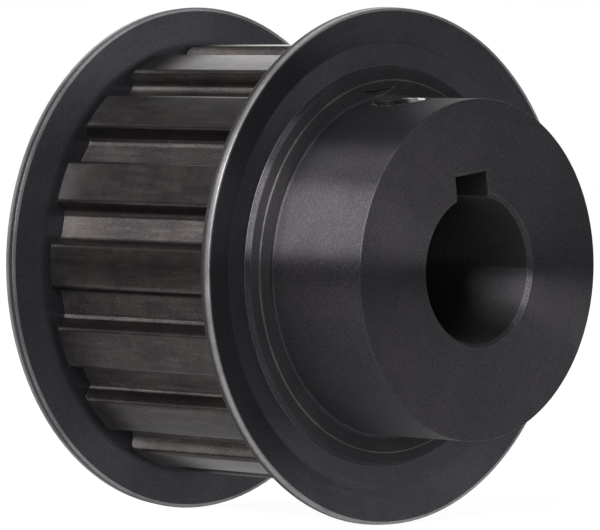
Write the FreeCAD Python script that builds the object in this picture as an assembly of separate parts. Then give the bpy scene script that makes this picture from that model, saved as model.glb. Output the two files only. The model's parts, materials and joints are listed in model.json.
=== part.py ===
"""Timing belt pulley for a 1 inch wide belt of 3/8 inch pitch, with two flanges, a hub and a set screw.

The shaft axis lies along Y with the hub towards -Y, and +Z is up. The origin is on the shaft axis, midway
between the flanges, where the middle of the belt runs. Every size is in millimetres.
"""

import FreeCAD, Part

import math
import os

from FreeCAD import Vector

INCH = 25.4
CENTRE = Vector(0, 0, 0)
ACROSS_AXIS = Vector(1, 0, 0)
SHAFT_AXIS = Vector(0, 1, 0)
FULL_TURN = 360
QUARTER_TURN = 90

# Toothed rim: trapezoidal belt form of 3/8 inch pitch
PITCH = 0.375 * INCH
TOOTH_COUNT = 16
PITCH_LINE_OFFSET = 0.381
GROOVE_BOTTOM_WIDTH = 3.10
GROOVE_DEPTH = 2.13
GROOVE_HALF_ANGLE = math.radians(20)
GROOVE_ROOT_RADIUS = 0.86
TOOTH_TIP_RADIUS = 0.53
TOOTH_END_BREAK = 0.7

# Flanges: dished sheet-metal rings that lean away from the belt, with their rims trimmed almost square to the shaft
FACE_WIDTH = 27.36
FLANGE_THICKNESS = 1.15
FLANGE_LEAN = math.radians(15)
FLANGE_BELT_SIDE_RADIUS = 28.0
FLANGE_BACK_RADIUS = 27.9
FLANGE_BEND_RADIUS = 24.2
FLANGE_BEND_ROUND = 0.9
FLANGE_RIM_BREAK = 0.12
FLANGE_SEAT_CLEARANCE = 0.05

# Body: the seat and rolled lip of each flange, the hub, the bore and the keyway
OVERALL_LENGTH = 1.75 * INCH
REAR_FACE = 16.04
SEAT_RADIUS = 20.9
LIP_FOOT_RADIUS = 21.75
LIP_CREST_RADIUS = 21.35
LIP_HEIGHT = 0.6
LIP_CREST_ROUND = 0.15
STEP_FOOT_RADIUS = 20.17
STEP_TOP_RADIUS = 20.1
STEP_HEIGHT = 0.12
HUB_FOOT_ROUND = 0.2
HUB_RADIUS = 18.25
HUB_EDGE_ROUND = 0.12
BORE_RADIUS = 0.3125 * INCH
BORE_EDGE_BREAK = 0.4
KEYWAY_WIDTH = 4.86
KEYWAY_TOP = 10.29
KEYWAY_EDGE_BREAK = 0.22
KEYWAY_CLOCKING = 6.4

# Set screw over the keyway: 1/4-20 with a cup point and a hex socket
SCREW_HUB_DISTANCE = 9.05
THREAD_PITCH = INCH / 20
SCREW_RADIUS = 0.125 * INCH - 0.03
SCREW_LENGTH = 0.25 * INCH
SCREW_THREAD_DEPTH = 0.62
SCREW_THREAD_HALF_WIDTH = 0.48
SCREW_END_BREAK = 0.55
SCREW_TIP_GAP = 0.05
CUP_RADIUS = 1.55
CUP_DEPTH = 0.7
SOCKET_SIDES = 6
SOCKET_ACROSS_FLATS = 0.125 * INCH
SOCKET_DEPTH = 3.0
SOCKET_POINT_DEPTH = 0.6
TAPPED_RADIUS = 0.125 * INCH + 0.05
TAPPED_THREAD_DEPTH = 0.32
TAPPED_THREAD_HALF_WIDTH = 0.3
TAPPED_EDGE_BREAK = 0.3

HALF_FACE = FACE_WIDTH / 2
FLANGE_BACK = HALF_FACE + FLANGE_THICKNESS
LIP_CREST = FLANGE_BACK + LIP_HEIGHT
STEP_TOP = LIP_CREST + STEP_HEIGHT
HUB_FACE = REAR_FACE - OVERALL_LENGTH
SCREW_Y = HUB_FACE + SCREW_HUB_DISTANCE
TIP_RADIUS = TOOTH_COUNT * PITCH / (2 * math.pi) - PITCH_LINE_OFFSET
CUT_MARGIN = 1.0
LENGTH_TOLERANCE = 0.001


def rounded_wire(corners):
    """A closed wire through (x, y, radius) corners in the XY plane, each rounded to its own radius."""
    spans = []
    for index, (x, y, radius) in enumerate(corners):
        corner = Vector(x, y, 0)
        if radius == 0:
            spans.append((corner, None, corner))
            continue
        back = (Vector(*corners[index - 1][:2], 0) - corner).normalize()
        ahead = (Vector(*corners[(index + 1) % len(corners)][:2], 0) - corner).normalize()
        half_angle = back.getAngle(ahead) / 2
        reach = radius / math.tan(half_angle)
        inward = (back + ahead).normalize()
        middle = corner + inward * (radius / math.sin(half_angle) - radius)
        spans.append((corner + back * reach, middle, corner + ahead * reach))
    edges = []
    for index, (start, middle, end) in enumerate(spans):
        if middle is not None:
            edges.append(Part.Arc(start, middle, end).toShape())
        following = spans[(index + 1) % len(spans)][0]
        edges.append(Part.LineSegment(end, following).toShape())
    return Part.Wire(edges)


def turned(corners):
    """A solid turned about the Y axis from (radius, y, round) corners."""
    solid = Part.Face(rounded_wire(corners)).revolve(CENTRE, SHAFT_AXIS, FULL_TURN)
    if solid.Volume < 0:
        solid.reverse()
    return solid


def about_shaft(shape, degrees):
    """The shape turned about the shaft axis, which leans +Z towards -X."""
    copy = shape.copy()
    copy.rotate(CENTRE, SHAFT_AXIS, -degrees)
    return copy


def stood_on_hub(shape, height):
    """A shape made along +Y from the origin, stood radially over the keyway at the set screw's place."""
    copy = shape.copy()
    copy.rotate(CENTRE, ACROSS_AXIS, QUARTER_TURN)
    copy.translate(Vector(0, SCREW_Y, height))
    return about_shaft(copy, KEYWAY_CLOCKING)


def belt_groove():
    """The trapezoidal space between two teeth, with rounded roots, running the full face width."""
    root = TIP_RADIUS - GROOVE_DEPTH
    top = TIP_RADIUS + CUT_MARGIN
    half_bottom = GROOVE_BOTTOM_WIDTH / 2
    half_top = half_bottom + (top - root) * math.tan(GROOVE_HALF_ANGLE)
    outline = rounded_wire(
        [
            (-half_bottom, root, GROOVE_ROOT_RADIUS),
            (half_bottom, root, GROOVE_ROOT_RADIUS),
            (half_top, top, 0),
            (-half_top, top, 0),
        ]
    )
    outline.rotate(CENTRE, ACROSS_AXIS, QUARTER_TURN)
    outline.translate(Vector(0, -HALF_FACE - CUT_MARGIN, 0))
    return Part.Face(outline).extrude(Vector(0, FACE_WIDTH + 2 * CUT_MARGIN, 0))


def tooth_end_break(side):
    """The ring of metal turned off the corner of the teeth at one end. side is +1 at the rear."""
    reach = TOOTH_END_BREAK + CUT_MARGIN
    return turned(
        [
            (TIP_RADIUS - TOOTH_END_BREAK - CUT_MARGIN, side * (HALF_FACE + CUT_MARGIN), 0),
            (TIP_RADIUS + CUT_MARGIN, side * (HALF_FACE + CUT_MARGIN), 0),
            (TIP_RADIUS + CUT_MARGIN, side * (HALF_FACE - reach), 0),
        ]
    )


def toothed_rim():
    """The ring of teeth, with one tooth centred on +Z and every tip edge rounded."""
    width = Vector(0, -HALF_FACE, 0)
    blank = Part.makeCylinder(TIP_RADIUS, FACE_WIDTH, width, SHAFT_AXIS)
    core = Part.makeCylinder(HUB_RADIUS, FACE_WIDTH, width, SHAFT_AXIS)
    groove = belt_groove()
    grooves = [about_shaft(groove, (index + 0.5) * FULL_TURN / TOOTH_COUNT) for index in range(TOOTH_COUNT)]
    rim = blank.cut([core] + grooves)

    def is_tip_edge(edge):
        along_face = abs(edge.Length - FACE_WIDTH) < LENGTH_TOLERANCE
        middle = edge.CenterOfMass
        return along_face and abs(math.hypot(middle.x, middle.z) - TIP_RADIUS) < LENGTH_TOLERANCE

    rim = rim.makeFillet(TOOTH_TIP_RADIUS, [edge for edge in rim.Edges if is_tip_edge(edge)])
    return rim.cut([tooth_end_break(-1), tooth_end_break(1)])


def lip_corners(side):
    """The seat end, the rolled lip and the step inside it, from the seat inwards. side is +1 at the rear."""
    return [
        (SEAT_RADIUS, side * FLANGE_BACK, 0),
        (LIP_FOOT_RADIUS, side * FLANGE_BACK, 0),
        (LIP_CREST_RADIUS, side * LIP_CREST, LIP_CREST_ROUND),
        (STEP_FOOT_RADIUS, side * LIP_CREST, 0),
        (STEP_TOP_RADIUS, side * STEP_TOP, 0),
        (HUB_RADIUS, side * STEP_TOP, HUB_FOOT_ROUND),
    ]


def hub_and_seats():
    """The turned middle of the body: the hub, both flange seats with their lips, and the bore."""
    corners = [
        (BORE_RADIUS, HUB_FACE + BORE_EDGE_BREAK, 0),
        (BORE_RADIUS + BORE_EDGE_BREAK, HUB_FACE, 0),
        (HUB_RADIUS, HUB_FACE, HUB_EDGE_ROUND),
    ]
    corners += reversed(lip_corners(-1))
    corners += lip_corners(1)
    corners += [
        (HUB_RADIUS, REAR_FACE, HUB_EDGE_ROUND),
        (BORE_RADIUS + BORE_EDGE_BREAK, REAR_FACE, 0),
        (BORE_RADIUS, REAR_FACE - BORE_EDGE_BREAK, 0),
    ]
    return turned(corners)


def keyway_outline(extra, y):
    """The slot's outline at one distance along the shaft, larger on its three sides by the extra."""
    half_width = KEYWAY_WIDTH / 2 + extra
    top = KEYWAY_TOP + extra
    corners = [(-half_width, 0), (half_width, 0), (half_width, top), (-half_width, top), (-half_width, 0)]
    return Part.makePolygon([Vector(x, y, z) for x, z in corners])


def keyway():
    """The square slot broached along the whole bore, with its edges broken at both end faces."""
    slot = Part.Face(keyway_outline(0, HUB_FACE - CUT_MARGIN)).extrude(
        Vector(0, OVERALL_LENGTH + 2 * CUT_MARGIN, 0)
    )
    pieces = [about_shaft(slot, KEYWAY_CLOCKING)]
    for face, outward in ((HUB_FACE, -1), (REAR_FACE, 1)):
        inner = keyway_outline(0, face - outward * KEYWAY_EDGE_BREAK)
        outer = keyway_outline(2 * KEYWAY_EDGE_BREAK, face + outward * KEYWAY_EDGE_BREAK)
        pieces.append(about_shaft(Part.makeLoft([inner, outer], True, True), KEYWAY_CLOCKING))
    return pieces


def tapped_hole():
    """The threaded hole for the set screw, from inside the bore out through the hub."""
    mouth = HUB_RADIUS - TAPPED_EDGE_BREAK
    end = HUB_RADIUS + CUT_MARGIN
    corners = [(0, 0, 0), (TAPPED_RADIUS, 0, 0)]
    height = KEYWAY_TOP + THREAD_PITCH
    while height < mouth - THREAD_PITCH / 2:
        corners += [
            (TAPPED_RADIUS, height - TAPPED_THREAD_HALF_WIDTH, 0),
            (TAPPED_RADIUS + TAPPED_THREAD_DEPTH, height, 0),
            (TAPPED_RADIUS, height + TAPPED_THREAD_HALF_WIDTH, 0),
        ]
        height += THREAD_PITCH
    corners += [(TAPPED_RADIUS, mouth, 0), (TAPPED_RADIUS + end - mouth, end, 0), (0, end, 0)]
    return stood_on_hub(turned(corners), 0)


def pulley_body():
    """The toothed rim, hub and flange seats in one piece, bored, keyed and tapped."""
    blank = toothed_rim().fuse(hub_and_seats())
    return blank.cut(keyway() + [tapped_hole()])


def flange(side):
    """A dished ring on its seat against the ends of the teeth. side is +1 at the rear."""
    hole = SEAT_RADIUS + FLANGE_SEAT_CLEARANCE
    belt_bend = FLANGE_BEND_RADIUS + FLANGE_THICKNESS * math.tan(FLANGE_LEAN / 2)
    belt_rim = HALF_FACE + (FLANGE_BELT_SIDE_RADIUS - belt_bend) * math.tan(FLANGE_LEAN)
    back_rim = FLANGE_BACK + (FLANGE_BACK_RADIUS - FLANGE_BEND_RADIUS) * math.tan(FLANGE_LEAN)
    return turned(
        [
            (hole, side * HALF_FACE, 0),
            (belt_bend, side * HALF_FACE, FLANGE_BEND_ROUND + FLANGE_THICKNESS),
            (FLANGE_BELT_SIDE_RADIUS, side * belt_rim, FLANGE_RIM_BREAK),
            (FLANGE_BACK_RADIUS, side * back_rim, FLANGE_RIM_BREAK),
            (FLANGE_BEND_RADIUS, side * FLANGE_BACK, FLANGE_BEND_ROUND),
            (hole, side * FLANGE_BACK, 0),
        ]
    )


def hex_socket():
    """The hexagonal pocket in the screw's outer end, with a pointed bottom."""
    corner_radius = SOCKET_ACROSS_FLATS / math.sqrt(3)
    bottom = SCREW_LENGTH - SOCKET_DEPTH
    corners = []
    for index in range(SOCKET_SIDES + 1):
        turn = math.radians(FULL_TURN / SOCKET_SIDES * index)
        corners.append(Vector(corner_radius * math.cos(turn), bottom, corner_radius * math.sin(turn)))
    prism = Part.Face(Part.makePolygon(corners)).extrude(Vector(0, SOCKET_DEPTH + CUT_MARGIN, 0))
    point = Part.makeCone(
        0, SOCKET_ACROSS_FLATS / 2, SOCKET_POINT_DEPTH, Vector(0, bottom - SOCKET_POINT_DEPTH, 0), SHAFT_AXIS
    )
    return prism.fuse(point)


def set_screw():
    """A cup-point socket set screw in its hole, with its tip just clear of the keyway's top."""
    corners = [(0, CUP_DEPTH, 0), (CUP_RADIUS, 0, 0), (SCREW_RADIUS - SCREW_END_BREAK, 0, 0)]
    corners.append((SCREW_RADIUS, SCREW_END_BREAK, 0))
    thread_count = int((SCREW_LENGTH - 2 * SCREW_END_BREAK) / THREAD_PITCH)
    first = (SCREW_LENGTH - (thread_count - 1) * THREAD_PITCH) / 2
    for index in range(thread_count):
        height = first + index * THREAD_PITCH
        corners += [
            (SCREW_RADIUS, height - SCREW_THREAD_HALF_WIDTH, 0),
            (SCREW_RADIUS - SCREW_THREAD_DEPTH, height, 0),
            (SCREW_RADIUS, height + SCREW_THREAD_HALF_WIDTH, 0),
        ]
    corners += [
        (SCREW_RADIUS, SCREW_LENGTH - SCREW_END_BREAK, 0),
        (SCREW_RADIUS - SCREW_END_BREAK, SCREW_LENGTH, 0),
        (0, SCREW_LENGTH, 0),
    ]
    screw = turned(corners).cut(hex_socket())
    return stood_on_hub(screw, KEYWAY_TOP + SCREW_TIP_GAP)


def write(node, shape):
    """Saves one piece under its own name."""
    solid = shape.Solids[0]
    assert len(shape.Solids) == 1 and solid.isValid(), node
    solid.exportStep(f"parts/{node}.step")
    print(node, solid.Volume, solid.BoundBox)


os.makedirs("parts", exist_ok=True)
write("pulley_body", pulley_body())
write("hub_side_flange", flange(-1))
write("rear_flange", flange(1))
write("set_screw", set_screw())
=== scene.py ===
"""Looks of the timing belt pulley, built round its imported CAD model."""
import json
import math

import bmesh
import bpy
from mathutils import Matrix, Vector


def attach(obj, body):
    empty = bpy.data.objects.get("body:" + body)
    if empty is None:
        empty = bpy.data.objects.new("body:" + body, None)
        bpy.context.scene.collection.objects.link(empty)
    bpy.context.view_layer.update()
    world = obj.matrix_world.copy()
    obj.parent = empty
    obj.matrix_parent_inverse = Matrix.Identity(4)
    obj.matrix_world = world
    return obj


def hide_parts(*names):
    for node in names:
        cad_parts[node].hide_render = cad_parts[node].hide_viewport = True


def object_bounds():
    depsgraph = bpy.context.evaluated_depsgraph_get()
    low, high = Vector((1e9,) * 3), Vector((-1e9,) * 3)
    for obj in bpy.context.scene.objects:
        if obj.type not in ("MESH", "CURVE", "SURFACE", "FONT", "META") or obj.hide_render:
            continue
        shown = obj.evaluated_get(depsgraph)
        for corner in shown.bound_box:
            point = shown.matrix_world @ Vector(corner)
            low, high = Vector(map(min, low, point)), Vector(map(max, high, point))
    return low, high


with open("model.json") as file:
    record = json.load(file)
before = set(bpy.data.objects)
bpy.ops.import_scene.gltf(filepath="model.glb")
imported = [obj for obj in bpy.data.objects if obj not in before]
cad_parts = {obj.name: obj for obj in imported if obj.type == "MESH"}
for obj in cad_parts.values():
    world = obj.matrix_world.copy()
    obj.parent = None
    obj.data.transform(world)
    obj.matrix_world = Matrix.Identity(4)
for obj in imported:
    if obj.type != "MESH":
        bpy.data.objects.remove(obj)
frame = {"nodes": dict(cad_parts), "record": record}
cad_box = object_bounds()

MM = 0.001

# Camera: its direction from the object, its distance, its lens and where it aims
CAMERA_AZIMUTH = math.radians(-45.1393)
CAMERA_ELEVATION = math.radians(2.552)
CAMERA_DISTANCE = 591.6094 * MM
CAMERA_LENS = 323.228
CAMERA_SENSOR = 36.0
AIM_ALONG_SHAFT = -1.4653 * MM
AIM_BELOW_SHAFT = 0.2936 * MM

# Set screw: 1/4-20 thread, cup point and hex socket
SCREW_LENGTH = 6.35 * MM
SCREW_CREST_RADIUS = 3.14 * MM
SCREW_THREAD_DEPTH = 0.62 * MM
THREAD_PITCH = 1.27 * MM
THREAD_FLAT = 0.16 * MM
SCREW_END_BREAK = 0.55 * MM
CUP_RADIUS = 1.6 * MM
CUP_DEPTH = 0.7 * MM
CUP_SHOULDER = CUP_DEPTH * 0.55
SOCKET_ACROSS_FLATS = 3.175 * MM
SOCKET_DEPTH = 3.0 * MM
SOCKET_MOUTH_BREAK = 0.15 * MM
DRILL_POINT = CUP_DEPTH / 2
SCREW_STEPS = 96
MERGE_DISTANCE = 0.002 * MM
SHARP_ANGLE = math.radians(28)


def mount(name):
    """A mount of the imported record."""
    return next(m for m in frame["record"]["mounts"] if m["name"] == name)


SCREW_END = Vector(mount("set_screw_socket")["pos_m"])
SCREW_AXIS = Vector(mount("set_screw_socket")["axis"]).normalized()
FLOOR_Z = cad_box[0].z

# Zones of the finish, in millimetres from the shaft or along it. A pair is where a mask starts and ends
TIP_RADIUS_MM = mount("belt_track")["pos_m"][2] / MM
LAND = (TIP_RADIUS_MM - 0.7, TIP_RADIUS_MM - 0.2)
TOOTH_FOOT = (21.2, 21.6)
TOOTH_END = 13.6
TOOTH_END_FADE = 0.1
# Painted highlight towards the tooth ends: from nothing to full between these distances along the shaft
HIGHLIGHT_NEAR_TOOTH_ENDS = (8.5, 13.2)
BORE_AND_KEYWAY = (10.6, 10.9)
HUB_INNER = (10.6, 11.0)
HUB_OUTER = (18.4, 18.7)
LIP_INNER = (18.5, 18.8)
RIM = (27.75, 27.9)
RIM_CORNER = (27.62, 27.92)
RIM_CORNER_FADE = 0.05
HOLE_RADIUS = 3.225
HOLE_WEAR = 0.9

# How squarely a surface faces along the shaft: a pair is where a wall ends and a face begins
WALL_TO_FACE = (0.3, 0.6)
FLAT_FACE = (0.6, 0.8)

# Colours of black oxide and of the steel where it is worn, with painted shade for the bore and painted
# highlights for the tooth ends and the flange rim's corner
BODY_DARK = (0.048, 0.045, 0.052, 1.0)
BODY_LIGHT = (0.062, 0.056, 0.062, 1.0)
BODY_MARK = (0.12, 0.115, 0.115, 1.0)
BODY_GRAIN_LIGHT = (0.125, 0.12, 0.125, 1.0)
BODY_GRAIN_DARK = (0.02, 0.019, 0.021, 1.0)
BODY_WORN = (0.30, 0.29, 0.285, 1.0)
# Painted shade inside the bore and keyway
BORE_PAINTED_SHADE = (0.02, 0.02, 0.02, 1.0)
TOOTH_DARK = (0.036, 0.031, 0.032, 1.0)
TOOTH_LIGHT = (0.060, 0.050, 0.047, 1.0)
TOOTH_RUBBED = (0.105, 0.092, 0.085, 1.0)
# Painted highlight colour for the tooth ends
TOOTH_END_HIGHLIGHT_COLOUR = (0.13, 0.12, 0.115, 1.0)
SHEET_DARK = (0.040, 0.039, 0.047, 1.0)
SHEET_LIGHT = (0.052, 0.050, 0.060, 1.0)
SHEET_SCUFF = (0.085, 0.083, 0.092, 1.0)
SHEET_GRAIN_LIGHT = (0.1, 0.098, 0.112, 1.0)
SHEET_GRAIN_DARK = (0.016, 0.016, 0.021, 1.0)
SHEET_WORN = (0.32, 0.31, 0.31, 1.0)
RIM_DARK = (0.030, 0.026, 0.024, 1.0)
# Painted highlight along the corner of the flange rim
RIM_CORNER_HIGHLIGHT = (0.34, 0.33, 0.33, 1.0)
SCREW_DARK = (0.036, 0.036, 0.038, 1.0)
SCREW_LIGHT = (0.05, 0.048, 0.047, 1.0)
SCREW_WORN = (0.17, 0.165, 0.16, 1.0)
FLOOR_GREY = (0.14, 0.14, 0.14, 1.0)
WHITE = (1.0, 1.0, 1.0, 1.0)

# Sizes of the finish: noise scales for grain, and how wide an edge wears on each piece
GRAIN_SCALE = 7000.0
BODY_EDGE = 0.14 * MM
SHEET_EDGE = 0.12 * MM
SCREW_EDGE = 0.08 * MM


# Node helpers


class Graph:
    """Short calls for wiring one node tree."""

    def __init__(self, tree):
        self.tree = tree
        self.tree.nodes.clear()

    def node(self, kind, **settings):
        made = self.tree.nodes.new(kind)
        for key, value in settings.items():
            setattr(made, key, value)
        return made

    def feed(self, socket, value):
        """Links an output to a socket, or sets the socket's own value."""
        if isinstance(value, bpy.types.NodeSocket):
            self.tree.links.new(value, socket)
        else:
            socket.default_value = value

    def math(self, operation, first, second=0.0, third=0.0):
        made = self.node("ShaderNodeMath", operation=operation)
        for socket, value in zip(made.inputs, (first, second, third)):
            self.feed(socket, value)
        return made.outputs[0]

    def add(self, *values):
        total = values[0]
        for value in values[1:]:
            total = self.math("ADD", total, value)
        return total

    def times(self, *values):
        product = values[0]
        for value in values[1:]:
            product = self.math("MULTIPLY", product, value)
        return product

    def span(self, value, low, high, start=0.0, end=1.0):
        """A value mapped smoothly from low..high to start..end."""
        made = self.node("ShaderNodeMapRange", interpolation_type="SMOOTHSTEP")
        for socket, item in zip(made.inputs, (value, low, high, start, end)):
            self.feed(socket, item)
        return made.outputs[0]

    def fade(self, value, low, high):
        """1 up to low, falling smoothly to 0 at high."""
        return self.span(value, low, high, 1.0, 0.0)

    def band(self, value, low, high, soft):
        """1 between low and high, fading to 0 over the soft width outside them."""
        rise = self.span(value, low - soft, low)
        fall = self.fade(value, high, high + soft)
        return self.times(rise, fall)

    def join(self, x, y, z):
        made = self.node("ShaderNodeCombineXYZ")
        for socket, value in zip(made.inputs, (x, y, z)):
            self.feed(socket, value)
        return made.outputs[0]

    def split(self, vector):
        made = self.node("ShaderNodeSeparateXYZ")
        self.feed(made.inputs[0], vector)
        return made.outputs

    def dot(self, first, second):
        made = self.node("ShaderNodeVectorMath", operation="DOT_PRODUCT")
        self.feed(made.inputs[0], first)
        self.feed(made.inputs[1], second)
        return made.outputs["Value"]

    def noise(self, vector, scale, detail=2.0, roughness=0.5):
        made = self.node("ShaderNodeTexNoise", noise_dimensions="3D")
        self.feed(made.inputs["Vector"], vector)
        made.inputs["Scale"].default_value = scale
        made.inputs["Detail"].default_value = detail
        made.inputs["Roughness"].default_value = roughness
        return made.outputs["Fac"]

    def mix(self, share, first, second):
        made = self.node("ShaderNodeMix", data_type="RGBA")
        self.feed(made.inputs["Factor"], share)
        self.feed(made.inputs[6], first)
        self.feed(made.inputs[7], second)
        return made.outputs[2]


def new_material(name):
    material = bpy.data.materials.new(name)
    material.use_nodes = True
    return material, Graph(material.node_tree)


class ShaftPlace:
    """Where a point lies about the shaft, in millimetres, and which way its surface faces."""

    def __init__(self, g):
        self.place = g.node("ShaderNodeTexCoord").outputs["Object"]
        x, y, z = g.split(self.place)
        distance = g.math("SQRT", g.add(g.times(x, x), g.times(z, z)))
        self.round_x = g.math("DIVIDE", x, distance)
        self.round_z = g.math("DIVIDE", z, distance)
        self.along = g.math("DIVIDE", y, MM)
        self.radius = g.math("DIVIDE", distance, MM)
        normal = g.node("ShaderNodeNewGeometry").outputs["True Normal"]
        self.facing = g.math("ABSOLUTE", g.split(normal)[1])


def turned_marks(g, spot, scale, reach, detail, roughness=0.6):
    """Noise drawn out round the shaft, as a lathe tool leaves it. A larger reach gives shorter marks."""
    on_wall = g.times(spot.along, g.math("SUBTRACT", 1.0, spot.facing))
    on_face = g.times(spot.radius, spot.facing)
    across = g.add(on_wall, on_face)
    place = g.join(across, g.times(spot.round_x, reach), g.times(spot.round_z, reach))
    return g.noise(place, scale, detail, roughness)


def outside_edges(g, width):
    """1 on an outside edge and 0 on a flat face, with the softened normal there."""
    bevel = g.node("ShaderNodeBevel", samples=6)
    bevel.inputs["Radius"].default_value = width
    normal = g.node("ShaderNodeNewGeometry").outputs["Normal"]
    return g.fade(g.dot(bevel.outputs[0], normal), 0.85, 0.985), bevel.outputs[0]


def grained(g, grain, colour, light_share, light, dark_share, dark):
    """A colour with fine lighter and darker grains over it."""
    colour = g.mix(g.times(g.span(grain, 0.5, 0.66), light_share), colour, light)
    return g.mix(g.times(g.fade(grain, 0.34, 0.5), dark_share), colour, dark)


def from_tapped_hole(g, spot):
    """How far a point lies from the tapped hole's axis, in metres."""
    away = g.join(*(-SCREW_END))
    offset = g.node("ShaderNodeVectorMath", operation="ADD")
    g.feed(offset.inputs[0], spot.place)
    g.feed(offset.inputs[1], away)
    along_hole = g.dot(offset.outputs[0], tuple(SCREW_AXIS))
    length = g.node("ShaderNodeVectorMath", operation="LENGTH")
    g.feed(length.inputs[0], offset.outputs[0])
    reach = length.outputs["Value"]
    return g.math("SQRT", g.math("SUBTRACT", g.times(reach, reach), g.times(along_hole, along_hole)))


def metal(g, material, colour, rough, height, soft_normal, anisotropy, metallic):
    """One Principled shader with grain across the turning direction. The bump's height is in millimetres."""
    shader = g.node("ShaderNodeBsdfPrincipled")
    g.feed(shader.inputs["Base Color"], colour)
    g.feed(shader.inputs["Roughness"], rough)
    shader.inputs["Metallic"].default_value = metallic
    shader.inputs["Anisotropic"].default_value = anisotropy
    shader.inputs["Anisotropic Rotation"].default_value = 0.25
    tangent = g.node("ShaderNodeTangent", direction_type="RADIAL", axis="Y")
    g.feed(shader.inputs["Tangent"], tangent.outputs[0])
    bump = g.node("ShaderNodeBump")
    bump.inputs["Strength"].default_value = 1.0
    bump.inputs["Distance"].default_value = MM
    g.feed(bump.inputs["Height"], height)
    g.feed(bump.inputs["Normal"], soft_normal)
    g.feed(shader.inputs["Normal"], bump.outputs[0])
    output = g.node("ShaderNodeOutputMaterial")
    g.feed(output.inputs[0], shader.outputs[0])
    return material


# Materials


def body_oxide():
    """Black oxide on turned and hobbed steel: warmer on the teeth with a painted highlight towards their
    ends, worn at edges and by the tapped hole, with painted shade in the bore.
    """
    material, g = new_material("body_oxide")
    spot = ShaftPlace(g)
    fine = turned_marks(g, spot, 9.0, 0.12, 3.0)
    broad = turned_marks(g, spot, 1.3, 0.25, 2.0)
    clouds = g.noise(spot.place, 150.0, 4.0, 0.6)
    specks = g.noise(spot.place, 2200.0, 2.0)
    edges, soft_normal = outside_edges(g, BODY_EDGE)

    between_flanges = g.band(spot.along, -TOOTH_END, TOOTH_END, TOOTH_END_FADE)
    on_teeth = g.times(g.span(spot.radius, *TOOTH_FOOT), between_flanges)
    on_land = g.times(g.span(spot.radius, *LAND), on_teeth)
    on_wall = g.fade(spot.facing, *WALL_TO_FACE)
    in_bore = g.times(g.fade(spot.radius, *BORE_AND_KEYWAY), on_wall)
    on_hub = g.times(g.span(spot.radius, *HUB_INNER), g.fade(spot.radius, *HUB_OUTER))
    on_hub_wall = g.times(on_hub, on_wall)
    on_lip = g.span(spot.radius, *LIP_INNER)
    on_lip = g.times(on_lip, g.fade(spot.radius, *TOOTH_FOOT), g.span(spot.facing, *FLAT_FACE))

    # Teeth: brownish, rubbed in streaks along the shaft, and lighter in patches towards their ends, a painted
    # highlight near the flanges
    rub_place = g.join(g.times(spot.along, 0.05), g.times(spot.round_x, 9.0), g.times(spot.round_z, 9.0))
    rubs = g.noise(rub_place, 4.0, 4.0, 0.65)
    # Painted highlight: lighter patches towards both ends of the teeth
    near_ends = g.span(g.math("ABSOLUTE", spot.along), *HIGHLIGHT_NEAR_TOOTH_ENDS)
    end_highlight = g.times(near_ends, g.span(clouds, 0.35, 0.6), 0.55)
    tooth_colour = g.mix(g.span(clouds, 0.4, 0.65), TOOTH_DARK, TOOTH_LIGHT)
    tooth_colour = g.mix(g.times(g.span(rubs, 0.45, 0.7), 0.5), tooth_colour, TOOTH_RUBBED)
    tooth_colour = g.mix(end_highlight, tooth_colour, TOOTH_END_HIGHLIGHT_COLOUR)

    grain = g.noise(spot.place, GRAIN_SCALE, 2.0, 0.7)
    colour = g.mix(g.span(clouds, 0.35, 0.7), BODY_DARK, BODY_LIGHT)
    colour = g.mix(on_teeth, colour, tooth_colour)
    colour = g.mix(g.times(g.span(fine, 0.56, 0.74), 0.3), colour, BODY_MARK)
    colour = grained(g, grain, colour, 0.45, BODY_GRAIN_LIGHT, 0.5, BODY_GRAIN_DARK)

    from_hole = from_tapped_hole(g, spot)
    by_hole = g.fade(from_hole, HOLE_RADIUS * MM, (HOLE_RADIUS + HOLE_WEAR) * MM)
    hole_wear = g.times(by_hole, on_hub_wall, g.span(specks, 0.5, 0.62))
    edge_wear = g.times(edges, g.span(clouds, 0.3, 0.62, 0.35, 1.0))
    colour = g.mix(g.math("MAXIMUM", edge_wear, hole_wear), colour, BODY_WORN)
    # Painted shade: the bore and keyway walls are darkened towards near black
    colour = g.mix(g.times(in_bore, 0.35), colour, BORE_PAINTED_SHADE)

    # Lands are smoothest, and the bore and the ring round the hub are roughest
    rough = g.add(0.34, g.times(on_teeth, -0.04), g.times(on_land, -0.15), g.times(in_bore, 0.2))
    rough = g.add(rough, g.times(on_lip, 0.34), g.times(broad, 0.06), g.times(specks, 0.03))
    tool_marks = g.add(g.times(fine, 0.007), g.times(broad, 0.006))
    tool_marks = g.times(tool_marks, g.add(0.35, g.times(on_hub_wall, 0.65)))
    height = g.add(tool_marks, g.times(grain, 0.0025), g.times(specks, 0.002))
    return metal(g, material, colour, rough, height, soft_normal, anisotropy=1.0, metallic=0.9)


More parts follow.
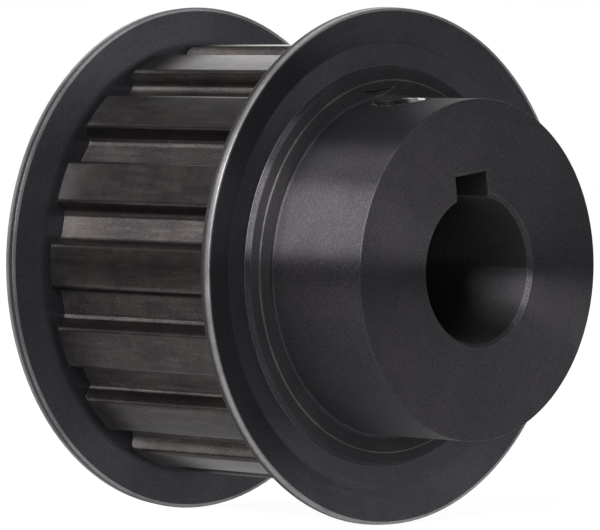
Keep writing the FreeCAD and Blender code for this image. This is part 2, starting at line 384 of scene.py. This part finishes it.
def flange_oxide():
    """Bluish black oxide on smooth pressed sheet, scuffed, with a dark cut rim and a painted highlight along
    the rim's corner.
    """
    material, g = new_material("flange_oxide")
    spot = ShaftPlace(g)
    fine = turned_marks(g, spot, 8.0, 0.3, 2.0)
    scuffs = turned_marks(g, spot, 1.2, 1.1, 4.0)
    clouds = g.noise(spot.place, 120.0, 4.0, 0.6)
    specks = g.noise(spot.place, 2400.0, 2.0)
    grain = g.noise(spot.place, GRAIN_SCALE, 2.0, 0.7)
    edges, soft_normal = outside_edges(g, SHEET_EDGE)
    on_rim = g.span(spot.radius, *RIM)
    on_corner = g.band(spot.radius, *RIM_CORNER, RIM_CORNER_FADE)

    colour = g.mix(g.span(clouds, 0.35, 0.7), SHEET_DARK, SHEET_LIGHT)
    colour = g.mix(g.times(g.span(scuffs, 0.58, 0.75), 0.35), colour, SHEET_SCUFF)
    colour = g.mix(g.times(on_rim, 0.75), colour, RIM_DARK)
    # Painted highlight: a bright thin ring along the corner of the rim
    corner_highlight = g.times(on_corner, g.span(clouds, 0.3, 0.6, 0.5, 0.95))
    colour = g.mix(corner_highlight, colour, RIM_CORNER_HIGHLIGHT)
    colour = grained(g, grain, colour, 0.35, SHEET_GRAIN_LIGHT, 0.45, SHEET_GRAIN_DARK)
    edge_wear = g.times(edges, g.span(clouds, 0.3, 0.6, 0.5, 1.0))
    colour = g.mix(edge_wear, colour, SHEET_WORN)

    rough = g.add(0.32, g.times(scuffs, 0.08), g.times(specks, 0.03), g.times(on_rim, 0.08))
    marks = g.add(g.times(fine, 0.0006), g.times(scuffs, 0.001))
    height = g.add(marks, g.times(specks, 0.001), g.times(grain, 0.0012))
    return metal(g, material, colour, rough, height, soft_normal, anisotropy=0.3, metallic=0.76)


def screw_oxide():
    """Dark, oily black oxide on alloy steel, rubbed bright on the crests of the thread."""
    material, g = new_material("screw_oxide")
    spot = ShaftPlace(g)
    clouds = g.noise(spot.place, 500.0, 4.0, 0.6)
    specks = g.noise(spot.place, 3500.0, 2.0)
    edges, soft_normal = outside_edges(g, SCREW_EDGE)
    colour = g.mix(g.span(clouds, 0.35, 0.7), SCREW_DARK, SCREW_LIGHT)
    colour = g.mix(g.times(edges, g.span(clouds, 0.3, 0.6, 0.4, 0.9)), colour, SCREW_WORN)
    rough = g.add(0.26, g.times(clouds, 0.12), g.times(specks, 0.04))
    height = g.add(g.times(clouds, 0.001), g.times(specks, 0.001))
    return metal(g, material, colour, rough, height, soft_normal, anisotropy=0.0, metallic=0.9)


def set_material(obj, material):
    obj.data.materials.clear()
    obj.data.materials.append(material)


# Set screw with its helical thread


def screw_limit(height):
    """The largest radius at a height above the tip, with the corner broken at both ends."""
    from_end = min(height, SCREW_LENGTH - height)
    return min(SCREW_CREST_RADIUS, SCREW_CREST_RADIUS - SCREW_END_BREAK + max(from_end, 0.0))


def hexagon_radius(turn):
    """The distance from the socket's middle to its wall in one direction."""
    sector = math.pi / 3
    return SOCKET_ACROSS_FLATS / 2 / math.cos((turn + sector / 2) % sector - sector / 2)


def thread_profile():
    """(height, radius) along one pitch: the root's flat, the flank, the crest's flat and the other flank."""
    root = SCREW_CREST_RADIUS - SCREW_THREAD_DEPTH
    flank = (THREAD_PITCH - 2 * THREAD_FLAT) / 2
    return [
        (0.0, root),
        (THREAD_FLAT, root),
        (THREAD_FLAT + flank, SCREW_CREST_RADIUS),
        (2 * THREAD_FLAT + flank, SCREW_CREST_RADIUS),
    ]


def set_screw():
    """A closed mesh: the helical thread, the cup point and the hex socket, standing in its hole."""
    mesh = bmesh.new()
    turns = [2 * math.pi * step / SCREW_STEPS for step in range(SCREW_STEPS)]
    profile = thread_profile()
    coil_count = math.ceil(SCREW_LENGTH / THREAD_PITCH) + 1

    def ring(height_at, radius_at):
        ring_points = []
        for turn in turns:
            radius = radius_at(turn)
            point = (radius * math.cos(turn), radius * math.sin(turn), height_at(turn))
            ring_points.append(mesh.verts.new(point))
        return ring_points

    def thread_ring(base, radius):
        def height_at(turn):
            return min(max(base + THREAD_PITCH * turn / (2 * math.pi), 0.0), SCREW_LENGTH)
        return ring(height_at, lambda turn: min(radius, screw_limit(height_at(turn))))

    rows = []
    for coil in range(-1, coil_count):
        for height, radius in profile:
            rows.append(thread_ring(coil * THREAD_PITCH + height, radius))

    def join(low, high, last_low, last_high):
        for step in range(SCREW_STEPS - 1):
            mesh.faces.new((low[step], low[step + 1], high[step + 1], high[step]))
        mesh.faces.new((low[-1], last_low[0], last_high[0], high[-1]))

    for index in range(len(rows) - len(profile) - 1):
        low, high = rows[index], rows[index + 1]
        join(low, high, rows[index + len(profile)], rows[index + len(profile) + 1])

    def flat_ring(height, radius):
        return ring(lambda turn: height, lambda turn: radius)

    tip = [
        flat_ring(0.0, screw_limit(0.0)),
        flat_ring(0.0, CUP_RADIUS),
        flat_ring(CUP_SHOULDER, CUP_RADIUS / 2),
    ]
    for outer, inner in zip(tip, tip[1:]):
        join(inner, outer, inner, outer)
    mesh.faces.new(reversed(tip[-1]))

    mouth = SOCKET_MOUTH_BREAK
    bottom = SCREW_LENGTH - SOCKET_DEPTH
    top = [
        flat_ring(SCREW_LENGTH, screw_limit(SCREW_LENGTH)),
        ring(lambda turn: SCREW_LENGTH, lambda turn: hexagon_radius(turn) + mouth),
        ring(lambda turn: SCREW_LENGTH - mouth, hexagon_radius),
        ring(lambda turn: bottom, hexagon_radius),
        flat_ring(bottom - DRILL_POINT, SOCKET_ACROSS_FLATS / 4),
    ]
    for outer, inner in zip(top, top[1:]):
        join(outer, inner, outer, inner)
    mesh.faces.new(top[-1])

    bmesh.ops.remove_doubles(mesh, verts=mesh.verts, dist=MERGE_DISTANCE)
    bmesh.ops.dissolve_degenerate(mesh, edges=mesh.edges, dist=MERGE_DISTANCE)
    bmesh.ops.recalc_face_normals(mesh, faces=mesh.faces)
    data = bpy.data.meshes.new("set_screw_thread")
    mesh.to_mesh(data)
    mesh.free()
    data.shade_smooth()
    data.set_sharp_from_angle(angle=SHARP_ANGLE)

    screw = bpy.data.objects.new("set_screw_thread", data)
    bpy.context.scene.collection.objects.link(screw)
    standing = SCREW_AXIS.to_track_quat("Z", "Y").to_matrix()
    for vertex in data.vertices:
        vertex.co = standing @ vertex.co + SCREW_END - SCREW_AXIS * SCREW_LENGTH
    set_material(screw, screw_oxide())
    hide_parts("set_screw")
    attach(screw, "screw")


# Studio

# The floor glows near the object, as a lit table top does: at full strength out to the first distance and
# not at all from the second, in metres. To the eye it is white everywhere
FLOOR_SIZE = 6.0
TABLE_BRIGHT = 0.06
TABLE_DIM = 0.30
TABLE_GLOW = 0.56
TABLE_WHITE = 0.94


def studio_floor():
    bpy.ops.mesh.primitive_plane_add(size=FLOOR_SIZE, location=(0, 0, FLOOR_Z))
    floor = bpy.context.object
    floor.name = "studio_floor"
    material, g = new_material("studio_floor")
    shader = g.node("ShaderNodeBsdfPrincipled")
    shader.inputs["Base Color"].default_value = FLOOR_GREY
    shader.inputs["Roughness"].default_value = 0.9
    shader.inputs["Specular IOR Level"].default_value = 0.0
    shader.inputs["Emission Color"].default_value = WHITE
    x, y = g.split(g.node("ShaderNodeTexCoord").outputs["Object"])[:2]
    distance = g.math("SQRT", g.add(g.times(x, x), g.times(y, y)))
    lit_table = g.span(distance, TABLE_BRIGHT, TABLE_DIM, TABLE_GLOW, 0.0)
    seen = g.node("ShaderNodeLightPath").outputs["Is Camera Ray"]
    glow = g.math("MAXIMUM", g.times(seen, TABLE_WHITE), lit_table)
    g.feed(shader.inputs["Emission Strength"], glow)
    output = g.node("ShaderNodeOutputMaterial")
    g.feed(output.inputs[0], shader.outputs[0])
    set_material(floor, material)


# Soft lights: (name, place, width and height in metres, power in watts)
SOFTBOXES = [
    ("key_left", (-0.600, -0.150, 0.338), (0.50, 0.54), 9.5),
    ("key_above", (-0.300, -0.080, 0.630), (0.50, 0.30), 1.6),
]


def softbox(name, place, size, power):
    """A rectangular soft light that faces the object."""
    lamp = bpy.data.lights.new(name, "AREA")
    lamp.shape = "RECTANGLE"
    lamp.size, lamp.size_y = size
    lamp.energy = power
    lamp_object = bpy.data.objects.new(name, lamp)
    bpy.context.scene.collection.objects.link(lamp_object)
    lamp_object.location = place
    lamp_object.rotation_mode = "QUATERNION"
    lamp_object.rotation_quaternion = (-Vector(place)).to_track_quat("-Z", "Y")
    lamp_object.visible_camera = False


# Bright screens round the set: (direction from the object, half angles in degrees of the full brightness and
# of the outer edge, brightness)
SCREENS = [
    ((0.66, 0.70, 0.27), 27, 40, 1.5),
    ((0.60, -0.79, 0.05), 20, 44, 0.42),
    ((0.40, -0.88, 0.28), 12, 26, 0.5),
]
# The dim room's own brightness on either side of the set
ROOM_LEFT = 0.24
ROOM_RIGHT = 0.22


def studio_world():
    """White to the eye behind the object. Its reflections show a dim room with a few bright screens."""
    world = bpy.data.worlds.new("studio")
    bpy.context.scene.world = world
    world.use_nodes = True
    g = Graph(world.node_tree)
    direction = g.node("ShaderNodeTexCoord").outputs["Generated"]
    glow = g.span(g.split(direction)[0], -0.2, 1.0, ROOM_LEFT, ROOM_RIGHT)
    for toward, full, outer, brightness in SCREENS:
        near = g.dot(direction, tuple(Vector(toward).normalized()))
        outer_edge, full_edge = math.cos(math.radians(outer)), math.cos(math.radians(full))
        lit = g.span(near, outer_edge, full_edge, 0.0, brightness)
        glow = g.add(glow, lit)
    room = g.node("ShaderNodeBackground")
    g.feed(room.inputs["Strength"], glow)
    seen = g.node("ShaderNodeBackground")
    for background in (room, seen):
        background.inputs["Color"].default_value = WHITE
    choose = g.node("ShaderNodeMixShader")
    g.feed(choose.inputs[0], g.node("ShaderNodeLightPath").outputs["Is Camera Ray"])
    g.feed(choose.inputs[1], room.outputs[0])
    g.feed(choose.inputs[2], seen.outputs[0])
    output = g.node("ShaderNodeOutputWorld")
    g.feed(output.inputs[0], choose.outputs[0])


def camera():
    lens = bpy.data.cameras.new("camera")
    lens.lens = CAMERA_LENS
    lens.sensor_width = CAMERA_SENSOR
    lens.clip_start, lens.clip_end = 0.01, 100.0
    eye = bpy.data.objects.new("camera", lens)
    bpy.context.scene.collection.objects.link(eye)
    level = math.cos(CAMERA_ELEVATION)
    back = Vector(
        (math.sin(CAMERA_AZIMUTH) * level, -math.cos(CAMERA_AZIMUTH) * level, math.sin(CAMERA_ELEVATION))
    )
    aim = Vector((0.0, AIM_ALONG_SHAFT, -AIM_BELOW_SHAFT))
    eye.location = aim + back * CAMERA_DISTANCE
    eye.rotation_mode = "QUATERNION"
    eye.rotation_quaternion = (-back).to_track_quat("-Z", "Y")
    bpy.context.scene.camera = eye


set_material(frame["nodes"]["pulley_body"], body_oxide())
sheet_finish = flange_oxide()
set_material(frame["nodes"]["hub_side_flange"], sheet_finish)
set_material(frame["nodes"]["rear_flange"], sheet_finish)
set_screw()

camera()
studio_floor()
studio_world()
for light in SOFTBOXES:
    softbox(*light)
bpy.context.scene.view_settings.view_transform = "Standard"
